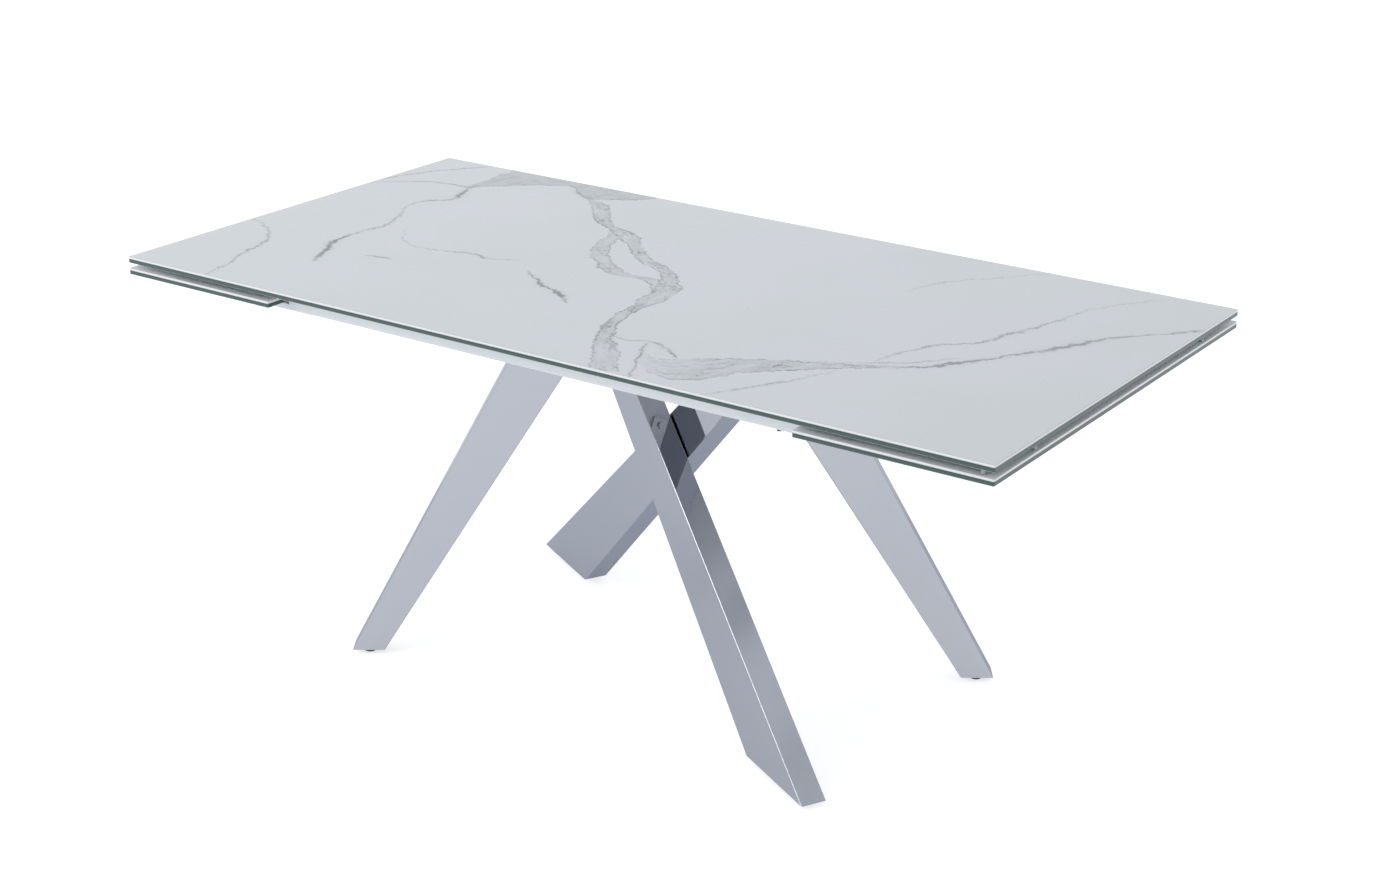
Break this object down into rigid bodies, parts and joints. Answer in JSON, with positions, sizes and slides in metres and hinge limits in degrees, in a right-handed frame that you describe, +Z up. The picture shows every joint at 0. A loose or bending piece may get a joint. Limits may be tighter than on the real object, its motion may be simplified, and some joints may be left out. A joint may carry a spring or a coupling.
{
  "type": "extendable dining table",
  "caption": "Rectangular extending dining table: marble-look ceramic and glass top, self-storing end leaves on slides, steel frame and tapered chrome legs that cross in the middle.",
  "frame": {"origin": "on the floor, under the middle of the table top", "axes": "+Z up; +X along the table's length, towards the right-hand leaf as seen from the front; +Y from the front long side to the back"},
  "size_m": [1.8, 0.9, 0.76],
  "materials": {
    "marble_ceramic": "satin, white with grey marble veins",
    "edge_glass": "polished tempered glass, back painted white, green edge",
    "clear_polymer": "clear soft bumper",
    "chrome": "mirror",
    "frame_paint": "satin powder coat",
    "runner_steel": "satin powder coat",
    "track_aluminium": "extruded, anodised",
    "aluminium": "machined",
    "zinc_steel": "zinc plated",
    "spring_steel": "drawn wire",
    "nylon": "natural nylon",
    "bond_pad": "structural adhesive pad",
    "black_plastic": "moulded"
  },
  "bodies": {
    "table": {"centre_plate": "frame_paint", "centre_stops": "nylon", "clear_bumpers": "clear_polymer", "cross_beam_left": "frame_paint", "cross_beam_right": "frame_paint", "crossing_bolt": "zinc_steel", "crossing_spacer": "chrome", "end_beam_left": "frame_paint", "end_beam_right": "frame_paint", "end_block_screws": "zinc_steel", "foot_plates": "chrome", "leg_back_left": "chrome", "leg_back_right": "chrome", "leg_bolts": "zinc_steel", "leg_flange_back_left": "zinc_steel", "leg_flange_back_right": "zinc_steel", "leg_flange_front_left": "zinc_steel", "leg_flange_front_right": "zinc_steel", "leg_front_left": "chrome", "leg_front_right": "chrome", "rail_end_blocks": "frame_paint", "rail_tongues": "frame_paint", "side_rail_back": "frame_paint", "side_rail_front": "frame_paint", "slide_track_back": "track_aluminium", "slide_track_front": "track_aluminium", "top_bond_pads": "bond_pad", "top_ceramic": "marble_ceramic", "top_glass": "edge_glass", "track_guides": "nylon", "travel_stops": "zinc_steel"},
    "left_leaf": {"left_leaf_bond_discs": "aluminium", "left_leaf_bracket_back": "runner_steel", "left_leaf_bracket_front": "runner_steel", "left_leaf_ceramic": "marble_ceramic", "left_leaf_cross_bar": "runner_steel", "left_leaf_glass": "edge_glass", "left_leaf_lift_arms": "runner_steel", "left_leaf_lift_pins": "zinc_steel", "left_leaf_lift_springs": "spring_steel", "left_leaf_runner_back": "runner_steel", "left_leaf_runner_front": "runner_steel", "left_leaf_sliders": "nylon"},
    "right_leaf": {"right_leaf_bond_discs": "aluminium", "right_leaf_bracket_back": "runner_steel", "right_leaf_bracket_front": "runner_steel", "right_leaf_ceramic": "marble_ceramic", "right_leaf_cross_bar": "runner_steel", "right_leaf_glass": "edge_glass", "right_leaf_lift_arms": "runner_steel", "right_leaf_lift_pins": "zinc_steel", "right_leaf_lift_springs": "spring_steel", "right_leaf_runner_back": "runner_steel", "right_leaf_runner_front": "runner_steel", "right_leaf_sliders": "nylon"},
    "glide_front_left": {"glide_front_left": "black_plastic"},
    "glide_front_right": {"glide_front_right": "black_plastic"},
    "glide_back_left": {"glide_back_left": "black_plastic"},
    "glide_back_right": {"glide_back_right": "black_plastic"}
  },
  "joints": [
    {"name": "left_leaf_slide", "type": "slide", "parent": "table", "child": "left_leaf", "axis": [-1, 0, 0], "range_m": [0, 0.36]},
    {"name": "right_leaf_slide", "type": "slide", "parent": "table", "child": "right_leaf", "axis": [1, 0, 0], "range_m": [0, 0.36]},
    {"name": "glide_front_left_turn", "type": "hinge", "parent": "table", "child": "glide_front_left", "pos_m": [-0.5083, -0.28019, 0.008], "axis": [0, 0, -1], "range_deg": [0, 1800]},
    {"name": "glide_front_right_turn", "type": "hinge", "parent": "table", "child": "glide_front_right", "pos_m": [0.43012, -0.26198, 0.008], "axis": [0, 0, -1], "range_deg": [0, 1800]},
    {"name": "glide_back_left_turn", "type": "hinge", "parent": "table", "child": "glide_back_left", "pos_m": [-0.43012, 0.26198, 0.008], "axis": [0, 0, -1], "range_deg": [0, 1800]},
    {"name": "glide_back_right_turn", "type": "hinge", "parent": "table", "child": "glide_back_right", "pos_m": [0.5083, 0.28019, 0.008], "axis": [0, 0, -1], "range_deg": [0, 1800]}
  ]
}
